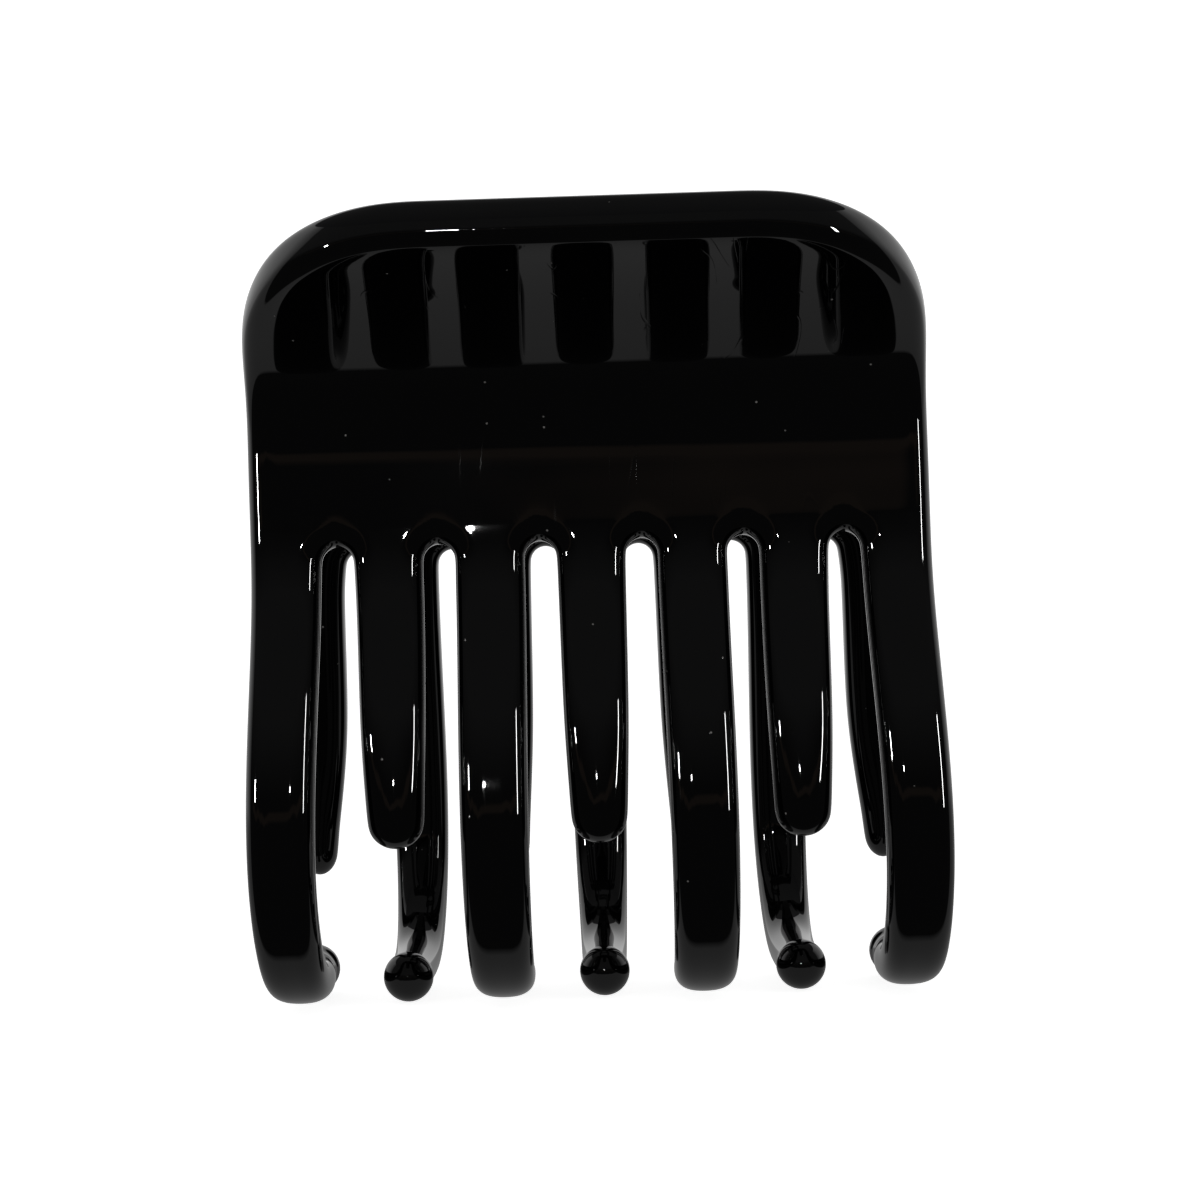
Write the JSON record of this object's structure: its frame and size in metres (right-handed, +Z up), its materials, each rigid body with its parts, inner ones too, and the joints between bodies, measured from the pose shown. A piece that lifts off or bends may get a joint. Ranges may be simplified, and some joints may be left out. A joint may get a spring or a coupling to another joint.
{
  "type": "claw clip",
  "caption": "Hair claw clip with two curved jaws of interlacing ball-tipped teeth, turning on a pin and shut by a torsion spring.",
  "frame": {"origin": "on the surface the closed clip stands on, under the middle of its box", "axes": "+X along the hinge pin, +Y from the front jaw to the back jaw, +Z up from the teeth to the wings"},
  "size_m": [0.062, 0.0636, 0.0699],
  "materials": {
    "jaw_plastic": "high-gloss moulded plastic",
    "pin_steel": "drawn and nickel-plated",
    "spring_steel": "drawn spring wire"
  },
  "bodies": {
    "back": {"back_jaw": "jaw_plastic", "hinge_pin": "pin_steel", "torsion_spring": "spring_steel"},
    "front": {"front_jaw": "jaw_plastic"}
  },
  "joints": [
    {"name": "jaw_opening", "type": "hinge", "parent": "back", "child": "front", "pos_m": [0, 0, 0.047], "axis": [-1, 0, 0], "range_deg": [0, 50], "stiffness_Nm_per_rad": 0.25, "springref_deg": -34.38, "deforming": ["torsion_spring"]}
  ]
}
